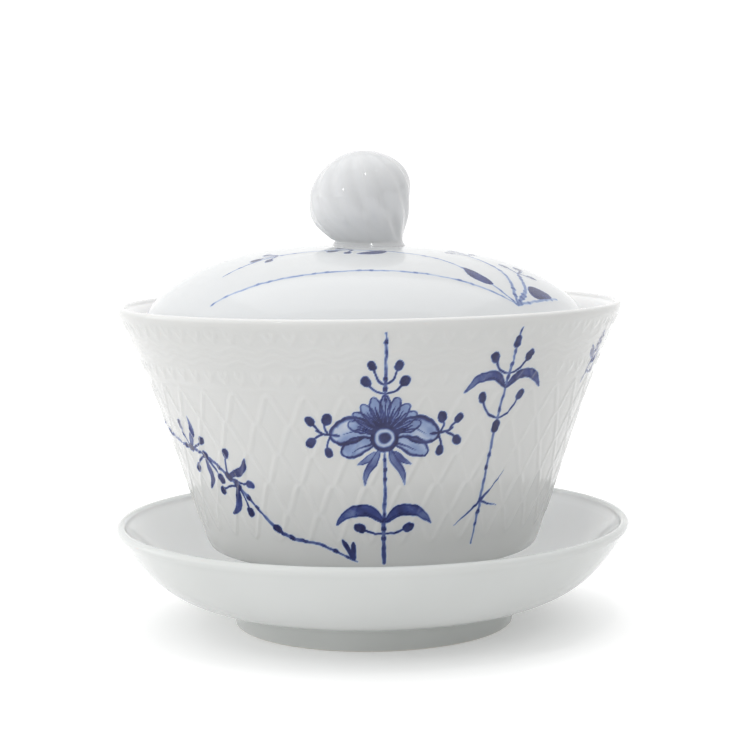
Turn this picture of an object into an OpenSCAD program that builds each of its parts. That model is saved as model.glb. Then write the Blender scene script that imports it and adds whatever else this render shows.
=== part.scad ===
// Gaiwan: a lidded porcelain tea bowl on its saucer.
// The saucer carries the bowl, the bowl carries the lid, and the lid carries its knob.
// Millimetres. The floor is z = 0, the saucer and bowl turn about Z, and the front faces -Y.
// The lid and its knob sit a little askew in the bowl.

/* [Saucer] */
// Diameter of the saucer over its rim
saucer_d = 108.2; // [104:0.2:116]
// Height of the saucer's rim above the floor
saucer_h = 22.2; // [20:0.2:24]
// Diameter of the saucer's foot ring where it meets the dish
saucer_foot_d = 60.4; // [56:0.2:64]
// Height of the saucer's foot ring
saucer_foot_h = 4.2; // [3.6:0.1:5]
// Diameter of the well that locates the bowl
well_d = 50; // [48.6:0.2:54]

/* [Bowl] */
// Diameter of the bowl over its rim
bowl_d = 105; // [102:0.2:110]
// Height of the bowl alone, from its foot to its rim
bowl_h = 62; // [58:0.5:68]
// Diameter of the bowl's foot ring
bowl_foot_d = 47.6; // [44:0.2:48.2]
// Thickness of the bowl's wall behind the rim
bowl_wall = 2.1; // [1.8:0.1:2.6]

/* [Lid] */
// Diameter of the lid over its edge, which drops inside the bowl
lid_d = 95.2; // [92:0.2:98]
// Height of the lid's dome above its edge
lid_h = 19; // [17:0.2:22]
// Thickness of the lid
lid_wall = 2.3; // [2:0.1:2.8]
// Gap between the lid's edge and the wall of the bowl
lid_gap = 0.3; // [0.2:0.05:0.4]
// How far the lid sits askew, with its left side up, in degrees
lid_tilt = 1.6; // [0:0.2:2]

/* [Knob] */
// Width of the knob at its fullest
knob_w = 21.1; // [18:0.1:24]
// Height of the knob above its seat on the lid
knob_h = 19.1; // [16:0.1:22]
// How far the knob's fullest part leans to the left of the axis
knob_lean = 2; // [0:0.1:3]
// Number of twisted lobes around the knob
knob_lobes = 12; // [8:1:14]
// Twist of the lobes from base to tip, in degrees
knob_twist = 60; // [0:5:90]
// Depth of the grooves between the lobes
knob_groove = 0.35; // [0.2:0.05:0.6]

/* [Hidden] */
$fn = 128;

PORCELAIN = [0.90, 0.91, 0.92];

// Saucer
dish_wall = 2.3;
rim_r = 0.95;
well_z = 5.9;
well_step = 1.2;
dish_z = well_z + well_step;
foot_w = 3.4;

// Bowl
bowl_z = well_z;
bowl_rim_z = bowl_z + bowl_h;
lip_r = bowl_wall * 0.36;
bowl_foot_h = 8.1;
bowl_foot_w = 2.8;
bowl_corner_r = 1.6;
waist = [0.7 * bowl_d / 2, bowl_z + 0.292 * bowl_h];
inner_floor_z = bowl_z + bowl_foot_h + 2.9;

// Points of the bowl's inner wall as [radius, height], from low to high
bowl_inner_low = curve([[0, inner_floor_z], [22, inner_floor_z],
    [waist[0] - 5.6, inner_floor_z + 0.3], [waist[0] - 2.3, waist[1] + 0.4]], 16);
bowl_inner_high = curve([[waist[0] - 2.3, waist[1] + 0.4], [waist[0] + 0.9, waist[1] + 8.6],
    [bowl_d / 2 - 9.9, bowl_rim_z - 18], [bowl_d / 2 - 0.3 - 2 * lip_r, bowl_rim_z - 1]], 20);

// Lid: its edge comes to rest where the bowl is just wider than the lid
lid_r = lid_d / 2;
lid_z = lookup(lid_r + lid_gap, bowl_inner_high);
lid_top = lid_z + lid_h;

// The bowl is wider where a tilted lid's edge is high, so the lid has slid that way
lid_rise = lid_r * sin(lid_tilt);
bowl_inner_at = [for (p = bowl_inner_high) [p[1], p[0]]];
lid_slide = (lookup(lid_z + lid_rise, bowl_inner_at) - lookup(lid_z - lid_rise, bowl_inner_at)) / 2;

seat_r = knob_w * 0.35;
seat_z = lid_top + 0.4;

// Knob
knob_sides = 7 * knob_lobes;

// ---- Curves ----

// A point of the cubic curve with the control points p
function on_curve(p, t) =
    pow(1 - t, 3) * p[0] + 3 * pow(1 - t, 2) * t * p[1]
    + 3 * (1 - t) * t * t * p[2] + pow(t, 3) * p[3];

// The cubic curve with the control points p, in n steps
function curve(p, n) = [for (i = [0:n]) on_curve(p, i / n)];

// An arc about c with radius r, from angle a to angle b
function arc(c, r, a, b, n = 6) =
    [for (i = [0:n]) let (w = a + (b - a) * i / n) [c[0] + r * cos(w), c[1] + r * sin(w)]];

// The dome of a lid with edge radius r and height h above z, from its edge to the radius r_end
function dome(r, h, z, r_end, n = 24) =
    [for (i = [0:n])
        let (w = 90 * pow(i / n, 0.85), q = r_end + (r - r_end) * cos(w))
        [q, z + h * pow(max(0, 1 - pow(q / r, 2.8)), 0.6)]];

// Sets the lid or its knob askew, about the middle of the lid's edge
module askew() {
    translate([-lid_slide, 0, lid_z])
    rotate([0, lid_tilt, 0])
    translate([0, 0, -lid_z])
    children();
}

// ---- Sub-parts ----

module saucer() {
    rim_c = [saucer_d / 2 - rim_r, saucer_h - rim_r];
    ring_r = saucer_foot_d / 2;
    under = curve([[ring_r + 0.2, saucer_foot_h + 0.5], [44, saucer_foot_h + 2.4],
        [48.5, 12], [saucer_d / 2, rim_c[1]]], 18);
    inside = curve([[rim_c[0] - rim_r, rim_c[1]], [47, 13.4],
        [42.5, dish_z + 1.2], [well_d / 2 + 5, dish_z]], 18);
    color(PORCELAIN)
    rotate_extrude()
    polygon(concat(
        [[0, 3.2], [ring_r - foot_w - 0.9, 3.2]],
        arc([ring_r - foot_w - 0.9, 2.6], 0.6, 90, 0, 3),
        arc([ring_r - foot_w + 0.4, 0.6], 0.6, 180, 270, 3),
        arc([ring_r - 1.3, 0.6], 0.6, -90, 0, 3),
        [[ring_r, saucer_foot_h]],
        under,
        arc(rim_c, rim_r, 15, 165, 8),
        inside,
        [[well_d / 2 + 0.8, dish_z]],
        arc([well_d / 2 + 0.8, dish_z - 0.5], 0.5, 90, 180, 3),
        [[well_d / 2, well_z], [0, well_z]]
    ));
}

module bowl() {
    foot_r = bowl_foot_d / 2;
    // The underside slopes gently out to a rounded corner, where the wall rises to the waist
    corner = arc([waist[0] - 3.5, waist[1] - 5.4], bowl_corner_r, -73, -30, 5);
    wall = curve([corner[5], corner[5] + [1.1, 1.9], waist - [0.8, 2.1], waist], 14);
    high = curve([waist, [waist[0] + 2.8, waist[1] + 7.8],
        [bowl_d / 2 - 8.3, bowl_rim_z - 18.3], [bowl_d / 2, bowl_rim_z - lip_r - 0.3]], 20);
    lip_c = [bowl_d / 2 - lip_r, bowl_rim_z - lip_r];
    color(PORCELAIN)
    rotate_extrude()
    polygon(concat(
        [[0, bowl_z + bowl_foot_h - 0.5], [foot_r - bowl_foot_w - 0.6, bowl_z + bowl_foot_h - 0.5]],
        arc([foot_r - bowl_foot_w - 0.6, bowl_z + bowl_foot_h - 1], 0.5, 90, 0, 3),
        arc([foot_r - bowl_foot_w + 0.4, bowl_z + 0.5], 0.5, 180, 270, 3),
        arc([foot_r - 0.8, bowl_z + 0.5], 0.5, -90, 0, 3),
        [[foot_r, bowl_z + bowl_foot_h]],
        corner,
        [for (i = [1:14]) wall[i]],
        [for (i = [1:20]) high[i]],
        arc(lip_c, lip_r, 0, 180, 8),
        [for (i = [20:-1:0]) bowl_inner_high[i]],
        [for (i = [15:-1:0]) bowl_inner_low[i]]
    ));
}

module lid() {
    edge_r = lid_wall / 2;
    outer = dome(lid_r, lid_h, lid_z, 0);
    inner = dome(lid_r - lid_wall, lid_h - lid_wall, lid_z, 0);
    color(PORCELAIN)
    askew()
    union() {
        rotate_extrude()
        polygon(concat(
            outer,
            [for (i = [24:-1:0]) inner[i]],
            arc([lid_r - edge_r, lid_z], edge_r, 180, 360, 8)
        ));
        // The round seat that the knob is luted onto
        translate([0, 0, lid_top - lid_wall / 2])
        cylinder(h = seat_z - lid_top + lid_wall / 2, r = seat_r);
    }
}

module knob() {
    // Outline as [left edge, right edge, height]: it swells to the left, then closes to the crown
    foot = [-0.33 * knob_w, 0.34 * knob_w, 0];
    belly = [-knob_w / 2 - knob_lean, knob_w / 2 - knob_lean, 0.49 * knob_h];
    crown = [-0.16 * knob_w, 0.05 * knob_w, knob_h];
    low = curve([foot, [-0.55 * knob_w, 0.34 * knob_w, 0.19 * knob_h],
        [belly[0], belly[1], 0.21 * knob_h], belly], 8);
    high = curve([belly, [belly[0], belly[1], 0.55 * knob_h],
        [-0.5 * knob_w, 0.48 * knob_w, 0.9 * knob_h], crown], 10);
    outline = concat(low, [for (i = [1:10]) high[i]]);
    // One ring of points at an outline entry, grooved by the twisted lobes except at the ends
    ring = function (e)
        let (
            u = e[2] / knob_h,
            half = (e[1] - e[0]) / 2,
            groove = knob_groove * min(1, 4 * u, 8 * (1 - u))
        )
        [for (k = [0:knob_sides - 1])
            let (
                a = 360 * k / knob_sides,
                r = half - groove * pow(abs(cos(knob_lobes / 2 * (a + knob_twist * u))), 3)
            )
            [(e[0] + e[1]) / 2 + r * cos(a), r * sin(a), seat_z + e[2]]];
    // The crown has a small dimple
    points = concat([for (e = outline) each ring(e)],
        [[(crown[0] + crown[1]) / 2, 0, seat_z + knob_h - 0.5]]);
    tip = len(points) - 1;
    last = len(outline) - 1;
    color(PORCELAIN)
    askew()
    polyhedron(
        points = points,
        faces = concat(
            [[for (k = [0:knob_sides - 1]) k]],
            [for (i = [0:last - 1], k = [0:knob_sides - 1])
                let (a = i * knob_sides, n = (k + 1) % knob_sides)
                [a + k, a + knob_sides + k, a + knob_sides + n, a + n]],
            [for (k = [0:knob_sides - 1])
                [last * knob_sides + k, tip, last * knob_sides + (k + 1) % knob_sides]]
        )
    );
}

saucer();
bowl();
lid();
knob();
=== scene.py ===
"""A gaiwan: glazed porcelain bowl, lid and saucer with moulded relief and cobalt painting.

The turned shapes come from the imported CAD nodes. This script gives them smooth fine surfaces,
the bowl's relief, the twisted knob, the painting and the glaze. Lengths are in millimetres
until a mesh is written, and azimuths are in degrees from the front (-Y) towards +X.
"""

import math

import bpy
import numpy as np
from mathutils import Matrix, Vector


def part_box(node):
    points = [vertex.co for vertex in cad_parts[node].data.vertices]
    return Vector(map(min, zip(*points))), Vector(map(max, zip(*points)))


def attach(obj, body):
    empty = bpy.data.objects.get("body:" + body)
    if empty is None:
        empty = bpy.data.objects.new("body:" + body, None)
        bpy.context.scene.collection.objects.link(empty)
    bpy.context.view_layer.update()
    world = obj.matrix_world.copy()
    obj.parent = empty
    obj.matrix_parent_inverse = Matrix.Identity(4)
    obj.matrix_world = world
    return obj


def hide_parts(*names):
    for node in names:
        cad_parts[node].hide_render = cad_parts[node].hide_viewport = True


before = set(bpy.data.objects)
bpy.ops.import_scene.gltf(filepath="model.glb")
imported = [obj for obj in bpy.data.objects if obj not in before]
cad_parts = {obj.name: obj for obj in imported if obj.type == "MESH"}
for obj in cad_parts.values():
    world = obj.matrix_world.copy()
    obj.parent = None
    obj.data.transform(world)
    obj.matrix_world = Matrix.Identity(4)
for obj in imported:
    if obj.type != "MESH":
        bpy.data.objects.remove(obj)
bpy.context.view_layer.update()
MM = 0.001

# ---- Camera: the photograph's viewpoint, in metres and degrees ----

CAMERA_PLACE = (0, -0.3895, 0.0927)
CAMERA_PITCH = 5.925
CAMERA_ROLL = 0.8
CAMERA_YAW = -0.136
LENS = 89.0

camera_data = bpy.data.cameras.new("camera")
camera_data.lens = LENS
camera_data.sensor_width = 36.0
camera_data.clip_start = 0.01
camera = bpy.data.objects.new("camera", camera_data)
bpy.context.scene.collection.objects.link(camera)
turn = (Matrix.Rotation(math.radians(CAMERA_YAW), 4, "Z")
        @ Matrix.Rotation(math.radians(90 - CAMERA_PITCH), 4, "X")
        @ Matrix.Rotation(math.radians(-CAMERA_ROLL), 4, "Z"))
camera.matrix_world = Matrix.Translation(CAMERA_PLACE) @ turn
bpy.context.scene.camera = camera

# ---- Outlines of the turned pieces, read from the frame ----

# The lid sits askew in the bowl, so its pieces are made upright and then tilted, in degrees
LID_TILT = 1.6
_c, _s = math.cos(math.radians(LID_TILT)), math.sin(math.radians(LID_TILT))
TILT = np.array([[_c, 0, _s], [0, 1, 0], [-_s, 0, _c]])


def node_points(node):
    """The CAD node's vertices in mm."""
    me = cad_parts[node].data
    points = np.empty(3 * len(me.vertices), np.float32)
    me.vertices.foreach_get("co", points)
    return points.reshape(-1, 3).astype(float) / MM


lid_points = node_points("lid") @ TILT
LID_AXIS = np.array([(lid_points[:, 0].max() + lid_points[:, 0].min()) / 2, 0, 0])


def upright(points):
    """Points of the tilted lid, turned upright about the Z axis."""
    return points @ TILT - LID_AXIS


def tilted(points):
    return (points + LID_AXIS) @ TILT.T


def cad_outline(node, points):
    """The turned node's outline in mm: (radius, height) points along its seam at azimuth +X,
    from the underside's middle round the outside to the top's middle."""
    at = {}
    for i, (x, y, z) in enumerate(points):
        if abs(y) < 1e-3 and x > 1e-2:
            at[i] = (round(x, 3), round(z, 3))
    near = {}
    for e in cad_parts[node].data.edges:
        a, b = (at.get(i) for i in e.vertices)
        if a and b and a != b:
            near.setdefault(a, set()).add(b)
            near.setdefault(b, set()).add(a)
    ends = sorted((p for p, n in near.items() if len(n) == 1), key=lambda p: p[1])
    walk, last = [ends[0]], None
    while True:
        onward = [p for p in near[walk[-1]] if p != last]
        if not onward:
            break
        last = walk[-1]
        walk.append(onward[0])
    return np.array(walk)


# Degrees: a corner sharper than this is kept, and one step of a smooth line turns no further
SHARP_CORNER = 40.0
BEND_STEP = 12


def resample(points, step):
    """A smooth line through points, cut at sharp corners. step(point) gives the spacing wanted
    there. It stays inside the points' own extent."""
    points = np.asarray(points, float)
    seg = np.diff(points, axis=0)
    length = np.linalg.norm(seg, axis=1)
    way = seg / length[:, None]

    def bend(a, b):
        return math.degrees(math.acos(max(-1.0, min(1.0, a @ b))))

    def tangent(j, own):
        # The line's direction at point j, seen from its segment `own`
        if j == 0 or j == len(seg) or bend(way[j - 1], way[j]) > SHARP_CORNER:
            return way[own]
        mean = way[j - 1] * length[j] + way[j] * length[j - 1]
        return mean / np.linalg.norm(mean)

    out = [points[0]]
    for i in range(len(seg)):
        start, end = tangent(i, i), tangent(i + 1, i)
        middle = (points[i] + points[i + 1]) / 2
        n = max(1, math.ceil(length[i] / step(middle)), math.ceil(bend(start, end) / BEND_STEP))
        for k in range(1, n + 1):
            t = k / n
            out.append((2 * t**3 - 3 * t**2 + 1) * points[i]
                       + (t**3 - 2 * t**2 + t) * start * length[i]
                       + (3 * t**2 - 2 * t**3) * points[i + 1]
                       + (t**3 - t**2) * end * length[i])
    return np.clip(out, points.min(axis=0), points.max(axis=0))


def outward(rows):
    """Unit normals of an outline, pointing out of the solid."""
    way = np.gradient(rows, axis=0)
    normal = np.stack([way[:, 1], -way[:, 0]], axis=1)
    return normal / np.linalg.norm(normal, axis=1)[:, None]


# ---- Mesh building ----


def new_object(name, verts, faces, attributes=(), normals=None):
    me = bpy.data.meshes.new(name)
    me.from_pydata((np.asarray(verts) * MM).tolist(), [], faces)
    me.polygons.foreach_set("use_smooth", [True] * len(me.polygons))
    for key, values in dict(attributes).items():
        att = me.attributes.new(key, "FLOAT", "POINT")
        att.data.foreach_set("value", np.asarray(values, np.float32))
    me.update()
    if normals is not None:
        me.normals_split_custom_set_from_vertices(np.asarray(normals).tolist())
    ob = bpy.data.objects.new(name, me)
    bpy.context.scene.collection.objects.link(ob)
    return ob


def stitch(low, n_low, high, n_high):
    """Faces between two rings that start at the indices low and high. Their numbers of points
    are equal, or one is double the other."""
    if n_low == n_high:
        n = n_low
        return [(low + k, low + (k + 1) % n, high + (k + 1) % n, high + k) for k in range(n)]
    faces = []
    n, fine = min(n_low, n_high), max(n_low, n_high)
    for k in range(n):
        k2, f = (k + 1) % n, [(2 * k + j) % fine for j in range(3)]
        if n_low == n:
            faces += [(low + k, high + f[1], high + f[0]), (low + k, low + k2, high + f[1]),
                      (low + k2, high + f[2], high + f[1])]
        else:
            faces += [(low + f[0], low + f[1], high + k), (low + f[1], high + k2, high + k),
                      (low + f[1], low + f[2], high + k2)]
    return faces


def skin(name, rings, attributes=(), place=lambda points: points):
    """A closed skin over rings of points, each end closed by a fan to its middle."""
    faces, starts, total = [], [], 0
    for ring in rings:
        starts.append(total)
        total += len(ring)
    for i in range(len(rings) - 1):
        faces += stitch(starts[i], len(rings[i]), starts[i + 1], len(rings[i + 1]))
    verts = list(np.concatenate(rings))
    values = {k: list(np.concatenate(v)) for k, v in dict(attributes).items()}
    for i, flip in ((0, True), (-1, False)):
        n, start = len(rings[i]), starts[i]
        verts.append(rings[i].mean(axis=0))
        for v in values.values():
            v.append(v[start])
        fan = [(start + k, start + (k + 1) % n, len(verts) - 1) for k in range(n)]
        faces += [f[::-1] for f in fan] if flip else fan
    return new_object(name, place(np.array(verts)), faces, values)


def azimuths(n):
    return np.arange(n) * 2 * math.pi / n


def around(r, z, angles):
    """Points round the axis. Angle 0 is the front, and it grows towards +X."""
    return np.stack([r * np.sin(angles), -r * np.cos(angles), z + 0 * angles], axis=-1)


# ---- The bowl, with its moulded relief ----

bowl_lo, bowl_hi = (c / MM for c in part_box("bowl"))
RIM = bowl_hi.z

# Heights of the relief's bands, in mm below the rim
UPPER_NOTCHES = 3.7
WAVES = 7.4
LOWER_NOTCHES = 11.8
LINE = 13.8
NET_TOP = 14.8
NET_BOTTOM = 44.4
NET_ROWS = 5
# The heights above the floor between which the wall is carved
CARVED = (RIM - NET_BOTTOM - 1.2, RIM - UPPER_NOTCHES + 1.4)

# Repeats around the bowl, and the azimuths at which one starts
SCALES = 38
SCALES_FROM = 3.6
WAVES_FROM = -2.05

# Height of the tallest ridges, and how far the waves swing and lie apart
RELIEF = 0.2
WAVE_SWING = 0.52
WAVE_GAP = 1.3

# Points round the bowl, and the spacing of its rows: plain, across ridges, and between them
COLUMNS = 20 * SCALES
PLAIN_STEP = 1.8
RIDGE_STEP = 0.48
BETWEEN_STEP = 0.72

# Painted shade, from 0 to 1, that tints the glaze darker: on the bowl's outside, the share of that
# at its rim, which leaves the rim lighter as painted light, and what is added between its ridges,
# partly glaze pooling and partly painted shade, and low on its wall as painted shade
BOWL_OUTSIDE_SHADE = 0.70
RIM_SHARE = 0.55
RIDGE_POOL_AND_SHADE = 0.055
LOW_WALL_SHADE = 0.16
# The same painted shade on the saucer's outside, in its well, in the knob's grooves (partly glaze
# pooling), at the knob's foot, and on the lid
SAUCER_OUTSIDE_SHADE = 0.76
WELL_SHADE = 0.25
GROOVE_POOL_AND_SHADE = 0.07
KNOB_FOOT_SHADE = 0.15
LID_SHADE = 0.06

# Heights from which and to which the painted shade deepens
LOW_WALL = (26, 14)
SAUCER_FOOT = (8.5, 4.5)
SAUCER_RIM = (21.6, 22.2)
SAUCER_WELL = (11, 7)


def climb(value, start, end):
    """0 up to start, rising to 1 at end."""
    return min(1, max(0, (value - start) / (end - start)))


def ridge(distance, width=0.42):
    return np.exp(-((distance / width) ** 2))


def to_line(x, y, line):
    """Distance of the points (x, y) to a line of points."""
    best = np.full(np.shape(x), 1e9)
    for (ax, ay), (bx, by) in zip(line[:-1], line[1:]):
        dx, dy = bx - ax, by - ay
        t = np.clip(((x - ax) * dx + (y - ay) * dy) / (dx * dx + dy * dy), 0, 1)
        best = np.minimum(best, np.hypot(x - ax - t * dx, y - ay - t * dy))
    return best


def relief(angles, r, z):
    """Height of the relief in shares of RELIEF at one height z, for angles round the bowl."""
    below = RIM - z
    pitch = 2 * math.pi * r / SCALES
    turns = (angles - math.radians(SCALES_FROM)) * SCALES / (2 * math.pi)
    height = np.zeros(len(angles))

    # Two rows of V-shaped notches, two to a scale
    x = np.abs((angles * SCALES / math.pi) % 1 - 0.5) * pitch / 2
    for row in (UPPER_NOTCHES, LOWER_NOTCHES):
        v_shape = [(0, -0.75), (0.11 * pitch, 0.7)]
        height = np.maximum(height, 0.8 * ridge(to_line(x, row - below + 0 * x, v_shape)))

    # Three parallel wavy lines
    phase = (angles - math.radians(WAVES_FROM)) * SCALES
    slope = WAVE_SWING * SCALES / r * np.sin(phase)
    for offset in (-WAVE_GAP, 0, WAVE_GAP):
        d = (WAVES + offset - below - WAVE_SWING * np.cos(phase)) / np.hypot(1, slope)
        height = np.maximum(height, 0.75 * ridge(d, 0.34))

    height = np.maximum(height, 0.5 * ridge(LINE - below + 0 * angles, 0.3))

    # The net of pointed scales. Each row's ridges run from its peaks to the peaks of the next.
    row_h = (NET_BOTTOM - NET_TOP) / NET_ROWS
    row = (below - NET_TOP) / row_h
    if -0.3 < row < NET_ROWS + 0.3:
        k = min(NET_ROWS - 1, max(0, math.floor(row)))
        share = np.linspace(0, 1, 15)
        spread = (0.72 * np.arccos(1 - 2 * share) / math.pi + 0.28 * share) * pitch / 2
        x = np.abs((turns + (0.5 if k % 2 else 0) + 0.5) % 1 - 0.5) * pitch
        d = to_line(x, (row - k) * row_h + 0 * x, list(zip(spread, share * row_h)))
        fade = min(1, (row + 0.3) / 0.3, (NET_ROWS + 0.3 - row) / 0.3)
        height = np.maximum(height, ridge(d)) + 0.25 * fade * (1 - ridge(d, 1.5))
    return height


def relief_step(p):
    """Spacing of the bowl's rows near the outline point p: finest where ridges lie level."""
    if not CARVED[0] < p[1] < CARVED[1] or p[0] < inner_limit(p[1]):
        return PLAIN_STEP
    row = (RIM - p[1] - NET_TOP) / (NET_BOTTOM - NET_TOP) * NET_ROWS
    return RIDGE_STEP if row < 0 or abs(row - round(row)) < 0.18 else BETWEEN_STEP


bowl_outline = cad_outline("bowl", node_points("bowl"))
lip_index = int(bowl_outline[:, 1].argmax())
outer_wall = bowl_outline[lip_index // 3:lip_index + 1]
outer_wall = outer_wall[np.argsort(outer_wall[:, 1])]


def inner_limit(z):
    """A radius that lies inside the thickness of the bowl's wall at the height z."""
    return np.interp(z, outer_wall[:, 1], outer_wall[:, 0]) - 1


bowl_rows = resample(bowl_outline, relief_step)
bowl_normals = outward(bowl_rows)
bowl_carved = np.array([CARVED[0] < z < CARVED[1] and r > inner_limit(z) for r, z in bowl_rows])
bowl_top = int(bowl_rows[:, 1].argmax())


def bowl_surface(angles, row, normal, lift=0.0):
    """Points of the bowl's outside at an outline point, and the relief there."""
    (r, z), (nr, nz) = row, normal
    height = relief(angles, r, z)
    out = RELIEF * height + lift
    return around(r, z, angles) + out[:, None] * around(nr, nz, angles), height


def make_bowl():
    rings, shade_and_pool, bare = [], [], []
    for i, (row, normal) in enumerate(zip(bowl_rows, bowl_normals)):
        if bowl_carved[i]:
            ring, height = bowl_surface(azimuths(COLUMNS), row, normal)
        else:
            beside = bowl_carved[max(0, i - 1):i + 2].any()
            n = COLUMNS // (2 if beside else 4)
            ring, height = around(*row, azimuths(n)), np.zeros(n)
        rings.append(ring)
        # Painted shade: slight inside, less at the rim so that it shows lighter as painted light,
        # and darkest low down outside
        if i > bowl_top:
            depth = RIM_SHARE * BOWL_OUTSIDE_SHADE * climb(row[1], RIM - 1, RIM)
        else:
            share = RIM_SHARE + (1 - RIM_SHARE) * climb(row[1], RIM, RIM - 1)
            depth = BOWL_OUTSIDE_SHADE * share + LOW_WALL_SHADE * climb(row[1], *LOW_WALL)
        shade_and_pool.append(RIDGE_POOL_AND_SHADE * (1 - np.clip(height, 0, 1)) + depth)
        bare.append(np.full(len(ring), float(row[1] < bowl_lo.z + 0.35)))
    return skin("bowl_glazed", rings, {"shade_and_pool": shade_and_pool, "bare": bare})


# ---- The saucer and the lid ----

# Points round a smooth turned piece, and the spacing of its rows
TURNED_COLUMNS = 256
TURNED_STEP = 1.3


def make_turned(name, outline, bare_below, shade_and_pool, place=lambda points: points):
    """The fourth argument, given a height and whether it lies outside the rim, returns the painted
    shade there.
    """
    rows = resample(outline, lambda p: TURNED_STEP)
    rim = int(rows[:, 1].argmax())
    rings = [around(r, z, azimuths(TURNED_COLUMNS)) for r, z in rows]
    bare = [np.full(TURNED_COLUMNS, float(z < bare_below)) for r, z in rows]
    shades = [np.full(TURNED_COLUMNS, shade_and_pool(z, i < rim)) for i, (r, z) in enumerate(rows)]
    return skin(name, rings, {"bare": bare, "shade_and_pool": shades}, place)


def saucer_shade(z, outside):
    """Painted shade: darkest at the foot, and slight inside except at the rim and in the well."""
    if outside:
        return SAUCER_OUTSIDE_SHADE + (1 - SAUCER_OUTSIDE_SHADE) * climb(z, *SAUCER_FOOT)
    return SAUCER_OUTSIDE_SHADE * climb(z, *SAUCER_RIM) + WELL_SHADE * climb(z, *SAUCER_WELL)


# ---- The knob ----

KNOB_LOBES = 12
KNOB_TWIST = 60.0
KNOB_GROOVE = 0.3

# Rings of the glaze that fills the corner at the knob's foot: (height above the foot, flare)
KNOB_FILLET = ((-1.0, 0.75), (-0.5, 0.6), (-0.2, 0.42), (0.05, 0.24), (0.35, 0.08))
# Rings of the dimple in its crown: (share of the crown's radius, depth)
KNOB_DIMPLE = ((0.78, 0.03), (0.55, 0.2), (0.3, 0.4), (0.12, 0.48))


def through(points, n):
    """A smooth curve through points, with n steps to each stretch."""
    out = []
    for i in range(len(points) - 1):
        p0, p1, p2, p3 = (points[min(len(points) - 1, max(0, i + j))] for j in (-1, 0, 1, 2))
        for k in range(n):
            t = k / n
            out.append(0.5 * (2 * p1 + (p2 - p0) * t + (2 * p0 - 5 * p1 + 4 * p2 - p3) * t * t
                              + (3 * p1 - p0 - 3 * p2 + p3) * t**3))
    out.append(points[-1])
    return np.array(out)


def make_knob():
    """Finely grooved rings through the CAD knob's own rings, with a fillet and a dimple."""
    points = upright(node_points("knob"))
    rings = []
    for z in sorted(set(points[:, 2].round(2))):
        at = points[np.abs(points[:, 2] - z) < 0.011]
        middle = (at[:, 0].max() + at[:, 0].min()) / 2
        half = np.hypot(at[:, 0] - middle, at[:, 1]).max()
        if half > 1 and (not rings or z - rings[-1][2] > 0.03):
            rings.append((middle, half, z))
    shape = through(np.array(rings), 5)
    foot, tip = shape[0][2], shape[-1][2]
    # Each entry: middle, radius, height, depth of the grooves
    entries = [(shape[0][0], shape[0][1] + flare, foot + rise, 0.0) for rise, flare in KNOB_FILLET]
    for middle, half, z in shape:
        u = (z - foot) / (tip - foot)
        if z > foot + 0.5:
            entries.append((middle, half, z, KNOB_GROOVE * min(1, 5 * u, 5 * (1 - u) + 0.3)))
    middle, half, z = shape[-1]
    entries += [(middle, half * s, z - dip, 0.13 * s) for s, dip in KNOB_DIMPLE]
    angles = azimuths(24 * KNOB_LOBES)
    mesh_rings, shade_and_pool = [], []
    for middle, half, z, depth in entries:
        u = (z - foot) / (tip - foot)
        turned = KNOB_LOBES / 2 * (angles - math.pi / 2 + math.radians(KNOB_TWIST) * u)
        groove = np.abs(np.cos(turned)) ** 3
        ring = around(half - depth * groove, z, angles)
        ring[:, 0] += middle
        mesh_rings.append(ring)
        # Painted shade at the knob's foot, and darker grooves, partly glaze pooling and partly
        # painted shade
        at_foot = KNOB_FOOT_SHADE * climb(u, 0.075, 0)
        shade_and_pool.append(GROOVE_POOL_AND_SHADE * groove * min(1, depth / KNOB_GROOVE) + at_foot)
    return skin("knob_glazed", mesh_rings, {"shade_and_pool": shade_and_pool}, tilted)


# ---- Materials ----

# Whites of one porcelain, set apart per piece: the lid and the knob darker as painted shade, and
# the saucer lighter as painted light
GLAZE_BOWL = (0.900, 0.896, 0.897)
LID_WHITE_SHADED = (0.672, 0.686, 0.696)
KNOB_WHITE_SHADED = (0.660, 0.668, 0.678)
SAUCER_WHITE_LIT = (0.948, 0.962, 0.964)
# The tint of painted shade, and of the glaze where it pools in recesses
SHADE_AND_POOL_TINT = (0.62, 0.63, 0.612)
BARE_CLAY = (0.70, 0.69, 0.65)
INK_STOPS = ((0.0, (0.620, 0.690, 0.800)), (0.35, (0.220, 0.300, 0.510)),
             (0.7, (0.034, 0.054, 0.215)), (1.0, (0.003, 0.005, 0.070)))


def maths_in(tree):
    """A function that adds Math nodes to a node tree. Their inputs are numbers or sockets."""

    def maths(operation, a, b, clamp=False):
        node = tree.nodes.new("ShaderNodeMath")
        node.operation = operation
        node.use_clamp = clamp
        for socket, value in zip(node.inputs, (a, b)):
            if isinstance(value, (int, float)):
                socket.default_value = value
            else:
                tree.links.new(value, socket)
        return node.outputs[0]

    return maths


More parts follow.
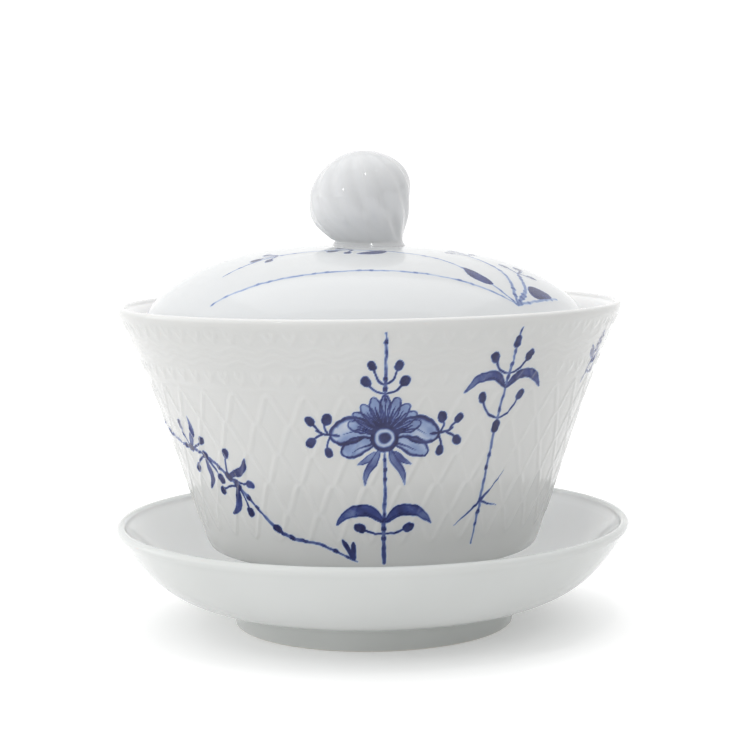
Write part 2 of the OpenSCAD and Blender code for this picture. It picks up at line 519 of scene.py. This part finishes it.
def porcelain(name, white):
    """Glazed porcelain: darker in tone by painted shade where its shade attribute is high (in
    recesses partly glaze pooling), matt where the clay is bare (attribute "bare"), and painted in
    cobalt under the glaze where the attribute "ink" is over 0."""
    mat = bpy.data.materials.new(name)
    mat.use_nodes = True
    nodes, links = mat.node_tree.nodes, mat.node_tree.links
    maths = maths_in(mat.node_tree)
    nodes.clear()
    out = nodes.new("ShaderNodeOutputMaterial")
    shader = nodes.new("ShaderNodeBsdfPrincipled")
    links.new(shader.outputs[0], out.inputs["Surface"])
    shader.inputs["IOR"].default_value = 1.5
    shader.inputs["Subsurface Weight"].default_value = 0.12
    shader.inputs["Subsurface Radius"].default_value = (1.0, 0.9, 0.8)
    shader.inputs["Subsurface Scale"].default_value = 0.001
    place = nodes.new("ShaderNodeTexCoord")

    def attribute(key):
        node = nodes.new("ShaderNodeAttribute")
        node.attribute_name = key
        return node.outputs["Fac"]

    def noise_at(scale, detail, rough=0.5):
        node = nodes.new("ShaderNodeTexNoise")
        node.inputs["Scale"].default_value = scale
        node.inputs["Detail"].default_value = detail
        node.inputs["Roughness"].default_value = rough
        links.new(place.outputs["Object"], node.inputs["Vector"])
        return node.outputs["Fac"]

    def spread(value, low, high):
        node = nodes.new("ShaderNodeMapRange")
        links.new(value, node.inputs["Value"])
        node.inputs["To Min"].default_value = low
        node.inputs["To Max"].default_value = high
        return node.outputs[0]

    def mix(share, a, b):
        node = nodes.new("ShaderNodeMix")
        node.data_type = "RGBA"
        links.new(share, node.inputs["Factor"])
        for key, value in (("A", a), ("B", b)):
            socket = next(s for s in node.inputs if s.name == key and s.type == "RGBA")
            if isinstance(value, tuple):
                socket.default_value = (*value, 1)
            else:
                links.new(value, socket)
        return next(s for s in node.outputs if s.type == "RGBA")

    # The painted shade varies slowly over the piece
    cloud = spread(noise_at(38, 2), 0.85, 1.15)
    shade_share = maths("MULTIPLY", attribute("shade_and_pool"), cloud, clamp=True)
    glaze = mix(shade_share, white, tuple(a * b for a, b in zip(white, SHADE_AND_POOL_TINT)))

    # Brushed cobalt, uneven along and across the stroke
    ink = attribute("ink")
    wash = spread(noise_at(520, 4, 0.65), 0.75, 1.2)
    ramp = nodes.new("ShaderNodeValToRGB")
    while len(ramp.color_ramp.elements) < len(INK_STOPS):
        ramp.color_ramp.elements.new(0.5)
    for stop, (at, colour) in zip(ramp.color_ramp.elements, INK_STOPS):
        stop.position = at
        stop.color = (*colour, 1)
    links.new(maths("MULTIPLY", ink, wash), ramp.inputs["Fac"])
    painted = mix(maths("MULTIPLY", ink, 4.0, clamp=True), glaze, ramp.outputs["Color"])

    bare = attribute("bare")
    links.new(mix(bare, painted, BARE_CLAY), shader.inputs["Base Color"])

    # A glossy glaze with faint waviness, and a dull foot
    gloss = spread(noise_at(160, 3), 0.05, 0.10)
    links.new(maths("ADD", gloss, maths("MULTIPLY", bare, 0.5)), shader.inputs["Roughness"])
    bump = nodes.new("ShaderNodeBump")
    bump.inputs["Strength"].default_value = 0.12
    bump.inputs["Distance"].default_value = 0.0002
    grain = maths("MULTIPLY", noise_at(2600, 2), bare)
    links.new(maths("ADD", noise_at(210, 2), grain), bump.inputs["Height"])
    links.new(bump.outputs["Normal"], shader.inputs["Normal"])
    return mat


def finish_piece(ob, material, body, slot, *nodes):
    ob.data.materials.append(material)
    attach(ob, body)
    if nodes:
        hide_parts(*nodes)


bowl_glaze = porcelain("bowl_glaze", GLAZE_BOWL)
lid_glaze = porcelain("lid_glaze", LID_WHITE_SHADED)
knob_glaze = porcelain("knob_glaze", KNOB_WHITE_SHADED)
saucer_glaze = porcelain("saucer_glaze", SAUCER_WHITE_LIT)

lid_outline = cad_outline("lid", upright(node_points("lid")))
finish_piece(make_bowl(), bowl_glaze, "bowl", "bowl_porcelain", "bowl")
saucer_outline = cad_outline("saucer", node_points("saucer"))
finish_piece(make_turned("saucer_glazed", saucer_outline, 0.4, saucer_shade),
             saucer_glaze, "saucer", "saucer_porcelain", "saucer")
# The lid's glaze gets an even painted shade
finish_piece(make_turned("lid_glazed", lid_outline, -1, lambda z, outside: LID_SHADE, tilted),
             lid_glaze, "lid", "lid_porcelain", "lid")
finish_piece(make_knob(), knob_glaze, "lid", "lid_porcelain", "knob")

# ---- Painting ----

# Fineness of the painted sheets, and how far their films stand over the glaze and reach into it
GRAIN = 0.21
FILM = 0.07
SUNK = -0.05
# Width over which a stroke's edge fades, and the ink from which a place counts as painted
SOFT_EDGE = 0.16
WET = 0.004
# Spacing of the points along a jointed stroke
BUMP_STEP = 0.3
rng = np.random.default_rng(7)


def ripples(x, y, count=9, longest=5.0, shortest=1.3):
    """Smooth noise of about -1 to 1 over a chart in mm."""
    total = 0
    for _ in range(count):
        way, phase = rng.uniform(0, 2 * math.pi, 2)
        k = 2 * math.pi / rng.uniform(shortest, longest)
        total = total + np.sin(k * (x * math.cos(way) + y * math.sin(way)) + phase)
    return total / math.sqrt(count)


# Widths along a brush stroke, for t from 0 at its start to 1 at its end


def even(t):
    return np.minimum(1, 0.5 + 5 * np.minimum(t, 1 - t))


def leaf(t):
    return 0.1 + 0.9 * np.sin(math.pi * t**0.8) ** 0.8


def drop(t):
    return 0.16 + 0.84 * np.exp(-(((t - 0.78) / 0.15) ** 4))


def petal(t):
    return np.where(t < 0.62, 0.3 + 0.7 * (t / 0.62) ** 0.9,
                    np.sqrt(np.clip(1 - ((t - 0.62) / 0.4) ** 2, 0, 1)))


def fading(t):
    return 1 - 0.8 * t


class Sheet:
    """Ink on a chart of a surface. y is in mm; across(y) is the mm to one unit of x."""

    def __init__(self, x, y, across):
        self.x, self.y = x, y
        self.across = across
        self.row_scale = across(y)
        self.ink = np.zeros((len(y), len(x)))
        grid_x, grid_y = x[None, :] * across(y.mean()), y[:, None]
        self.sway = [0.07 * ripples(grid_x, grid_y) for _ in range(2)]
        self.load = 0.09 * ripples(grid_x, grid_y, longest=9.0, shortest=2.5)

    def stroke(self, path, width, ink=0.95, rim=None, shape=even, bumps=0.0):
        """A stroke of the brush along a path of chart points. rim is the ink at the edges of a
        wash, and bumps are swellings every few mm, as on a jointed stem."""
        path = np.array(path, float)
        x0 = path[:, 0].mean()
        mm = np.stack([(path[:, 0] - x0) * self.across(path[:, 1]), path[:, 1]], axis=1)
        line = through(mm, 6) if len(mm) > 2 else np.linspace(mm[0], mm[-1], 7)
        lengths = np.concatenate([[0], np.linalg.norm(np.diff(line, axis=0), axis=1).cumsum()])
        half = width / 2 * shape(lengths / lengths[-1])
        dark = np.full(len(line), float(ink))
        if bumps:
            along = np.arange(0, lengths[-1], BUMP_STEP)
            line = np.stack([np.interp(along, lengths, c) for c in line.T], axis=1)
            half = np.interp(along, lengths, half)
            joint = np.maximum(0, np.sin(2 * math.pi * along / (2.1 + 0.5 * math.sin(x0)) + x0)
                               * np.sin(along / 3.1 + 2 * x0)) ** 2
            half = half * (1 + bumps * joint)
            dark = ink * (0.72 + 0.45 * joint)
        reach = half.max() + 0.6
        low, high = line[:, 1].min() - reach, line[:, 1].max() + reach
        rows = np.nonzero((self.y > low) & (self.y < high))[0]
        scale = self.row_scale[rows].min()
        columns = np.nonzero((self.x > x0 + (line[:, 0].min() - reach) / scale)
                             & (self.x < x0 + (line[:, 0].max() + reach) / scale))[0]
        if not len(rows) or not len(columns):
            return
        window = np.ix_(rows, columns)
        x = (self.x[columns] - x0)[None, :] * self.row_scale[rows][:, None] + self.sway[0][window]
        y = self.y[rows][:, None] + self.sway[1][window]
        inside, share = np.full(x.shape, -9.0), np.ones(x.shape)
        level = np.full(x.shape, float(ink))
        for (ax, ay), (bx, by), ha, hb, tone in zip(line[:-1], line[1:], half[:-1], half[1:], dark):
            dx, dy = bx - ax, by - ay
            t = np.clip(((x - ax) * dx + (y - ay) * dy) / (dx * dx + dy * dy + 1e-9), 0, 1)
            d, h = np.hypot(x - ax - t * dx, y - ay - t * dy), ha + t * (hb - ha)
            better = h - d > inside
            inside = np.where(better, h - d, inside)
            share = np.where(better, d / h, share)
            level = np.where(better, tone, level)
        level = level + self.load[window]
        if rim is not None:
            level = level + (rim - ink) * np.clip((share - 0.62) / 0.22, 0, 1)
        cover = np.clip(inside / SOFT_EDGE + 0.5, 0, 1)
        self.ink[window] = np.maximum(self.ink[window], level * cover)


class Brush:
    """Paints on a sheet in mm about a chart point, turned by some degrees and maybe mirrored."""

    def __init__(self, sheet, x, y, turn=0.0, flip=1):
        self.sheet, self.x, self.y, self.turn, self.flip = sheet, x, y, turn, flip
        self.c, self.s = math.cos(math.radians(turn)), math.sin(math.radians(turn))

    def stroke(self, path, width, *rest, **options):
        chart = []
        for u, v in path:
            u *= self.flip
            u, v = u * self.c - v * self.s, u * self.s + v * self.c
            chart.append((self.x + u / self.sheet.across(self.y + v), self.y + v))
        self.sheet.stroke(chart, width, *rest, **options)

    def mirrored(self):
        return Brush(self.sheet, self.x, self.y, self.turn, -self.flip)

    def berry(self, path, size):
        """A berry at the end of a short stalk."""
        (u0, v0), (u1, v1) = path[-2:]
        length = math.hypot(u1 - u0, v1 - v0)
        du, dv = (u1 - u0) / length, (v1 - v0) / length
        self.stroke(path, 0.42)
        self.stroke([(u1 - 0.3 * du, v1 - 0.3 * dv), (u1 + 0.45 * du, v1 + 0.45 * dv)], size, 1.0)

    def berry_pair(self, v, reach, rise, size=1.8):
        for b in (self, self.mirrored()):
            b.berry([(0.2, v), (0.6 * reach, v + 0.3 * rise), (reach, v + rise)], size)

    def leaf_pair(self, v, reach, width):
        """Two leaves that arch out from a stem and droop at their tips."""
        for b in (self, self.mirrored()):
            b.stroke([(0.2, v), (0.35 * reach, v + 2.3), (0.8 * reach, v + 2.0),
                      (reach * 1.12, v - 0.6)], width, 0.75, 1.0, leaf)
            b.stroke([(0.2, v), (0.4 * reach, v + 1.9), (0.8 * reach, v + 1.5)],
                     0.4, 1.0, shape=fading)


def blossom(b):
    """An open flower seen from the side, with a fan of petals over broad side petals."""
    for k in range(9):
        a = math.radians(-70 + 17.5 * k)
        long = 7.9 - 0.9 * abs(math.sin(a))
        ring = [(r * math.sin(a), r * math.cos(a) * 0.98 + 0.4) for r in (1.8, 0.5 * long, long)]
        b.stroke(ring, 2.5, 0.42, 1.0, petal)
        b.stroke(ring[:2] + [(ring[2][0] * 0.8, ring[2][1] * 0.8)], 0.9, 1.0, shape=fading)
    for b1 in (b, b.mirrored()):
        b1.stroke([(1.6, 0.6), (5.0, 1.9), (9.3, 0.2)], 5.6, 0.27, 1.0, petal)
        b1.stroke([(1.4, -0.6), (4.2, -1.3), (7.6, -3.0)], 4.0, 0.3, 1.0, petal)
        b1.stroke([(2.2, 0.6), (5.0, 1.6), (7.8, 0.6)], 0.5, 0.95, shape=fading)
        b1.stroke([(2.6, -0.1), (5.0, 0.2), (7.4, -0.7)], 0.5, 0.95, shape=fading)
        b1.stroke([(2.2, -1.2), (4.2, -1.9), (6.0, -2.8)], 0.5, 0.95, shape=fading)
        # Drooping sepals
        b1.stroke([(0.9, -2.2), (1.9, -4.8), (3.3, -6.9), (3.8, -9.6)], 1.5, 0.6, 1.0, leaf)
        b1.stroke([(1.8, -2.8), (3.4, -4.6), (5.2, -5.4)], 1.2, 0.6, 1.0, leaf)
        # Berries beyond the side petals
        b1.stroke([(8.6, 0.4), (10.8, 0.6), (13.2, 1.4)], 0.5)
        b1.berry([(10.6, 0.6), (11.3, 2.2), (11.0, 3.6)], 1.8)
        b1.berry([(12.2, 1.0), (13.6, 2.4), (14.3, 3.2)], 1.6)
        b1.berry([(11.6, 0.9), (13.2, -0.1), (14.0, -1.0)], 1.7)
        b1.berry([(10.2, 0.5), (10.9, -1.6), (10.6, -2.9)], 1.6)
    # The eye
    b.stroke([(-0.1, -0.2), (0.1, 0.0)], 5.4, 1.0)


def eye(b):
    """A pale ring that leaves a dark pupil, painted over the middle of a blossom."""
    sheet = b.sheet
    x = (sheet.x - b.x)[None, :] * sheet.row_scale[:, None] + sheet.sway[0]
    y = (sheet.y - b.y)[:, None] + sheet.sway[1]
    d = np.hypot(x, y + 0.1)
    pale = np.clip(1.5 - np.abs(d - 1.5) / 0.38, 0, 1)
    sheet.ink = sheet.ink * (1 - pale) + 0.2 * pale * (d < 3)


def flower_stem(sheet, x, z):
    """A tall stem with a blossom, leaves and berries; z is the height of its blossom."""
    sheet.stroke([(x, z + 6), (x, z + 12), (x, z + 17), (x, z + 20.5)], 0.55, bumps=0.8)
    sheet.stroke([(x, z - 3), (x + 0.15, z - 9), (x, z - 16)], 0.6, bumps=0.5)
    sheet.stroke([(x, z - 15), (x - 0.1, z - 19), (x, z - 26)], 0.8, bumps=0.4)
    b = Brush(sheet, x, z)
    b.leaf_pair(-17.2, 8.2, 2.4)
    b.berry_pair(-19.6, 4.6, 1.2)
    b.berry_pair(8.6, 3.6, 2.4)
    b.berry_pair(10.4, 2.5, 3.6, 1.6)
    blossom(b)
    eye(b)


def sprig(sheet, x, z, lean=0.6):
    """A slender sprig from near the foot to near the rim; z is the height of its middle node."""
    sheet.stroke([(x - lean, z - 24), (x - 0.5 * lean, z - 12), (x, z), (x + lean, z + 10),
                  (x + 1.5 * lean, z + 19.5)], 0.55, 0.85, bumps=0.7)
    b = Brush(sheet, x, z)
    b.stroke([(0, -0.6), (0.1, 0.6)], 1.7, 1.0)
    b.berry_pair(1.6, 4.4, 4.4, 1.7)
    b = Brush(sheet, x + 0.8 * lean, z + 7.4)
    b.leaf_pair(0.4, 8.0, 2.0)
    b.berry_pair(3.0, 4.0, 3.4, 1.8)
    b.stroke([(0.1, 8.6), (0.3, 10.0)], 1.5, 1.0)
    b = Brush(sheet, x - 0.6 * lean, z - 15)
    for tip in ((-5.0, -4.6), (4.6, 5.6), (4.4, -1.4)):
        b.stroke([(0, 0), (0.5 * tip[0], 0.5 * tip[1] - 0.3), tip], 0.6, 0.8, shape=fading)


def bud(sheet, x, z):
    """A bud with two small leaves on a short stalk."""
    b = Brush(sheet, x, z)
    b.stroke([(-2.4, -6.5), (-0.8, -3.0), (0, 0)], 0.5)
    b.stroke([(-0.4, -0.6), (0.4, 1.6), (0.8, 3.6)], 2.4, 0.8, 1.0, leaf)
    b.stroke([(-0.6, -1.6), (-2.6, -0.4), (-4.0, 1.0)], 1.5, 0.8, 1.0, leaf)
    b.stroke([(-0.6, -2.4), (1.8, -1.8), (3.6, -0.4)], 1.5, 0.8, 1.0, leaf)
    b.berry([(-1.4, -4.2), (0.8, -4.8), (2.2, -4.2)], 1.6)


def branch(sheet, points, twigs):
    """A jointed creeping branch. A twig is (share of the way, side), and side 0 is a bare knot."""
    sheet.stroke(points, 0.7, bumps=0.7)
    line = through(np.array(points, float), 8)
    for share, side in twigs:
        i = int(share * (len(line) - 2))
        (ax, ay), (bx, by) = line[i], line[i + 1]
        lean = math.degrees(math.atan2(by - ay, (bx - ax) * sheet.across(ay)))
        b = Brush(sheet, ax, ay, lean)
        b.stroke([(-0.4, 0), (0.4, 0)], 1.6, 1.0)
        if not side:
            continue
        b.stroke([(0, 0), (1.2, 2.2 * side), (2.2, 4.4 * side), (1.6, 7.0 * side)],
                 1.6, 0.8, 1.0, leaf)
        b.berry([(0, 0), (-1.6, 2.0 * side), (-2.4, 4.2 * side)], 1.6)
        b.berry([(0.6, 0), (3.2, 1.4 * side), (4.8, 2.6 * side)], 1.6)


def film(name, sheet, surface, shade_and_pool, material, body, slot):
    """The painted parts of a sheet as a thin closed film on a surface. surface(lift) gives
    the chart's points and their normals. The film's rim lies just under the glaze."""
    wet = sheet.ink > WET
    cell = wet[:-1, :-1] | wet[1:, :-1] | wet[:-1, 1:] | wet[1:, 1:]
    grown = cell.copy()
    grown[1:] |= cell[:-1]
    grown[:-1] |= cell[1:]
    grown[:, 1:] |= cell[:, :-1]
    grown[:, :-1] |= cell[:, 1:]
    cell = grown
    count = np.zeros(wet.shape, int)
    for dy in (0, 1):
        for dx in (0, 1):
            count[dy:dy + cell.shape[0], dx:dx + cell.shape[1]] += cell
    used = count > 0
    border = used & (count < 4)
    top, normals = surface(FILM)
    base, _ = surface(SUNK)
    top = np.where(border[..., None], 0.25 * top + 0.75 * base, top)
    number = np.full(wet.shape, -1)
    number[used] = np.arange(used.sum())
    total = int(used.sum())
    rows, columns = np.nonzero(cell)
    quad = np.stack([number[rows, columns], number[rows, columns + 1],
                     number[rows + 1, columns + 1], number[rows + 1, columns]], axis=1)
    edges = {}
    for face in quad.tolist():
        for a, b in zip(face, face[1:] + face[:1]):
            if (b, a) in edges:
                del edges[(b, a)]
            else:
                edges[(a, b)] = True
    faces = quad.tolist() + (quad[:, ::-1] + total).tolist()
    faces += [(b, a, a + total, b + total) for a, b in edges]
    verts = np.concatenate([top[used], base[used]])
    ink = np.concatenate([sheet.ink[used] * ~border[used], np.zeros(total)])
    both = np.concatenate([normals[used], -normals[used]])
    # The film carries the same painted shade as the glaze round it
    attributes = {"ink": np.clip(ink, 0, 1), "shade_and_pool": np.full(2 * total, shade_and_pool)}
    finish_piece(new_object(name, verts, faces, attributes, both), material, body, slot)


def grid_normals(points):
    across, up = np.gradient(points, axis=1), np.gradient(points, axis=0)
    normal = np.cross(across, up)
    return normal / np.linalg.norm(normal, axis=-1)[..., None]


# The bowl's chart: azimuth in degrees against height, from the back's seam round the front
CHART_FROM, CHART_TO, CHART_LOW, CHART_HIGH = -130, 230, 18.6, RIM - 1.0
bowl_side = bowl_rows[(bowl_rows[:, 1] > 15) & (bowl_rows[:, 0] > inner_limit(bowl_rows[:, 1]))]
bowl_side = bowl_side[np.argsort(bowl_side[:, 1])]


def bowl_radius(z):
    return np.interp(z, bowl_side[:, 1], bowl_side[:, 0])


# The creeping branch as (azimuth, height), and its twigs
BRANCH = ((-84, 45), (-66, 41.5), (-52, 39.5), (-41, 34), (-28, 25), (-16, 23), (-5, 19.6))
TWIGS = ((0.27, 1), (0.36, -1), (0.47, 1), (0.53, -1), (0.67, 0))


def paint_bowl():
    sheet = Sheet(np.arange(CHART_FROM, CHART_TO, GRAIN * 1.25),
                  np.arange(CHART_LOW, CHART_HIGH, GRAIN),
                  lambda z: bowl_radius(z) * math.pi / 180)
    # The same spray twice round the bowl
    for turn, back in ((0, 0), (180, -180)):
        flower_stem(sheet, turn + 3.3, 45.0)
        sprig(sheet, turn + 32.6, 46.0)
        bud(sheet, back + 68.0, 59.0)
        branch(sheet, [(turn + x, z) for x, z in BRANCH], TWIGS)
        for x, z in ((-9, 24), (-6, 23.5)):
            sheet.stroke([(turn - 6, 20), (turn + x, z)], 0.9)

    def surface(lift):
        points = []
        for z in sheet.y:
            r = bowl_radius(z)
            slope = bowl_radius(z + 0.5) - bowl_radius(z - 0.5)
            normal = np.array([1, -slope]) / math.hypot(1, slope)
            points.append(bowl_surface(np.radians(sheet.x), (r, z), normal, lift)[0])
        points = np.array(points)
        return points, grid_normals(points)

    film("bowl_painting", sheet, surface, BOWL_OUTSIDE_SHADE + 0.8 * RIDGE_POOL_AND_SHADE, bowl_glaze,
         "bowl", "bowl_porcelain")


lid_rows = resample(lid_outline, lambda p: TURNED_STEP)
lid_dome = lid_rows[int(lid_rows[:, 0].argmax()):][::-1]


# Half the width of the lid's chart, and the radii between which the lid is painted
LID_CHART = 45.0
LID_PAINTED = (8.8, 43.5)


def paint_lid():
    span = np.arange(-LID_CHART, LID_CHART, GRAIN)
    sheet = Sheet(span, span, lambda y: 1.0 + 0 * y)
    for turn in (0, 180):
        c, s = math.cos(math.radians(turn)), math.sin(math.radians(turn))

        def at(points):
            return [(x * c - y * s, x * s + y * c) for x, y in points]

        # Two long stems and three twigs spring from one root near the lid's edge
        root = (29, -31)
        for path, width, ink in (
                ([root, (15, -31), (-10, -32), (-31, -31)], 0.6, 0.42),
                ([root, (22, -27), (12, -20), (-3, -16.5), (-18, -17.5), (-29, -22.5)], 0.6, 0.5),
                ([root, (31, -24), (30, -16)], 0.7, 0.6),
                ([root, (27, -20), (20, -12)], 0.7, 0.6),
                ([root, (33, -26), (38, -18)], 0.5, 0.5)):
            sheet.stroke(at(path), width, ink, bumps=0.5)
        for x, y, way in ((30, -16, 90), (20, -12, 130), (-3, -16.5, 200), (-18, -17.5, 190)):
            u, v = at([(x, y)])[0]
            b = Brush(sheet, u, v, way - 90 + turn)
            b.berry([(0, 0), (0.8, 2.4), (0.4, 4.4)], 1.8)
            b.berry([(0, 0), (-1.4, 1.4), (-2.6, 2.2)], 1.5)
            b.berry([(0, 0), (1.6, 0.8), (3.0, 1.8)], 1.5)
        for x, y, way in ((24, -28, 140), (32.5, -24.5, 50), (3, -17, 215)):
            u, v = at([(x, y)])[0]
            b = Brush(sheet, u, v, way + turn)
            b.stroke([(0, 0), (3.0, 0.9), (6.4, 0.2)], 3.2, 0.85, 1.0, leaf)
    radius = np.hypot(sheet.x[None, :], sheet.y[:, None])
    sheet.ink[(radius < LID_PAINTED[0]) | (radius > LID_PAINTED[1])] = 0

    def surface(lift):
        z = np.interp(radius, lid_dome[:, 0], lid_dome[:, 1])
        points = np.stack([sheet.x[None, :] + 0 * z, sheet.y[:, None] + 0 * z, z], axis=-1)
        normals = grid_normals(points)
        return tilted(points + lift * normals), normals @ TILT.T

    film("lid_painting", sheet, surface, LID_SHADE, lid_glaze, "lid", "lid_porcelain")


paint_bowl()
paint_lid()

# ---- Floor, backdrop and light, in metres ----

SWEEP_HALF_WIDTH = 2.5
SWEEP_FRONT = -1.5
# Where the floor starts to bend up, the radius of the bend, and the height of the backdrop
SWEEP_BEND = 0.9
SWEEP_RADIUS = 0.6
SWEEP_TOP = 2.2

# The floor's white as seen, the white that it throws back, and its own faint glow
FLOOR_WHITE = 0.97
FLOOR_BOUNCE = 0.68
FLOOR_GLOW = 0.19

# Light from the surroundings: its level, what is added to the right, and what to the back
LOW_LIGHT = (1.28, -0.50, 0.53)
MIDDLE_LIGHT = (1.09, -0.26, 0.42)
HIGH_LIGHT = 1.14
# What is added to the right just over the horizon
GRAZING_LIGHT = -0.45


def make_floor():
    """A white sweep: flat under the object, and curving up far behind it."""
    bend = [math.radians(9 * k) for k in range(1, 11)]
    rows = [(SWEEP_FRONT, 0.0), (SWEEP_BEND, 0.0)]
    rows += [(SWEEP_BEND + SWEEP_RADIUS * math.sin(a), SWEEP_RADIUS - SWEEP_RADIUS * math.cos(a))
             for a in bend]
    rows.append((SWEEP_BEND + SWEEP_RADIUS, SWEEP_TOP))
    verts = [(x, y, z) for y, z in rows for x in (-SWEEP_HALF_WIDTH, SWEEP_HALF_WIDTH)]
    faces = [(2 * i, 2 * i + 1, 2 * i + 3, 2 * i + 2) for i in range(len(rows) - 1)]
    floor = new_object("floor", np.array(verts) / MM, faces)
    mat = bpy.data.materials.new("floor_paper")
    mat.use_nodes = True
    nodes, links = mat.node_tree.nodes, mat.node_tree.links
    shader = nodes["Principled BSDF"]
    # White to look at and in reflections, but a pale grey to the light that it throws back
    tone = nodes.new("ShaderNodeMix")
    tone.data_type = "RGBA"
    colours = [s for s in tone.inputs if s.type == "RGBA"]
    for socket, value in zip(colours, (FLOOR_WHITE, FLOOR_BOUNCE)):
        socket.default_value = (value, value, value, 1)
    bounced = nodes.new("ShaderNodeLightPath").outputs["Is Diffuse Ray"]
    links.new(bounced, tone.inputs["Factor"])
    toned = next(s for s in tone.outputs if s.type == "RGBA")
    links.new(toned, shader.inputs["Base Color"])
    shader.inputs["Roughness"].default_value = 0.9
    shader.inputs["Specular IOR Level"].default_value = 0.0
    shader.inputs["Emission Color"].default_value = (1, 1, 1, 1)
    shader.inputs["Emission Strength"].default_value = FLOOR_GLOW
    floor.data.materials.append(mat)


def area_light(name, place, aim, size, power):
    data = bpy.data.lights.new(name, "AREA")
    data.shape = "RECTANGLE"
    data.size, data.size_y = size
    data.energy = power
    light = bpy.data.objects.new(name, data)
    bpy.context.scene.collection.objects.link(light)
    light.location = place
    light.rotation_euler = (Vector(aim) - Vector(place)).to_track_quat("-Z", "Y").to_euler()


make_floor()
area_light("top", (0.0, 0.35, 1.2), (0, 0, 0), (1.4, 0.9), 2.2)
# Small lamps that show as sparks in the glaze of the knob
area_light("spark_front", (0.10, -0.38, 0.80), (0, 0, 0.1), (0.035, 0.035), 0.25)
area_light("spark_left", (-0.49, -0.54, 0.45), (0, 0, 0.1), (0.035, 0.035), 0.2)


def studio():
    """Soft light all round, stronger from low down, from behind and from the left. It looks
    white wherever the camera sees it past the floor."""
    world = bpy.data.worlds.new("studio")
    world.use_nodes = True
    nodes, links = world.node_tree.nodes, world.node_tree.links
    maths = maths_in(world.node_tree)
    light = nodes["Background"]
    place, axes = nodes.new("ShaderNodeTexCoord"), nodes.new("ShaderNodeSeparateXYZ")
    links.new(place.outputs["Generated"], axes.inputs[0])
    x, y, z = axes.outputs

    def ramp(value, start, end):
        """0 up to start, rising to 1 at end."""
        return maths("DIVIDE", maths("SUBTRACT", value, start), end - start, clamp=True)

    def tilted_light(level, to_right, to_back):
        sideways = maths("MULTIPLY", x, to_right)
        return maths("ADD", maths("ADD", level, sideways), maths("MULTIPLY", y, to_back))

    low = maths("MULTIPLY", ramp(z, 0.55, 0.15), tilted_light(*LOW_LIGHT))
    middle = maths("MULTIPLY", maths("MULTIPLY", ramp(z, 0.15, 0.55), ramp(z, 0.9, 0.55)),
                   tilted_light(*MIDDLE_LIGHT))
    high = maths("MULTIPLY", ramp(z, 0.55, 0.9), HIGH_LIGHT)
    seen = nodes.new("ShaderNodeLightPath").outputs["Is Camera Ray"]
    grazing = maths("MULTIPLY", ramp(z, 0.25, 0.05), maths("MULTIPLY", x, GRAZING_LIGHT))
    strength = maths("ADD", maths("ADD", low, middle), maths("ADD", high, grazing))
    links.new(maths("MAXIMUM", strength, seen), light.inputs["Strength"])
    light.inputs["Color"].default_value = (1, 1, 1, 1)
    bpy.context.scene.world = world


studio()
bpy.context.scene.view_settings.view_transform = "Standard"
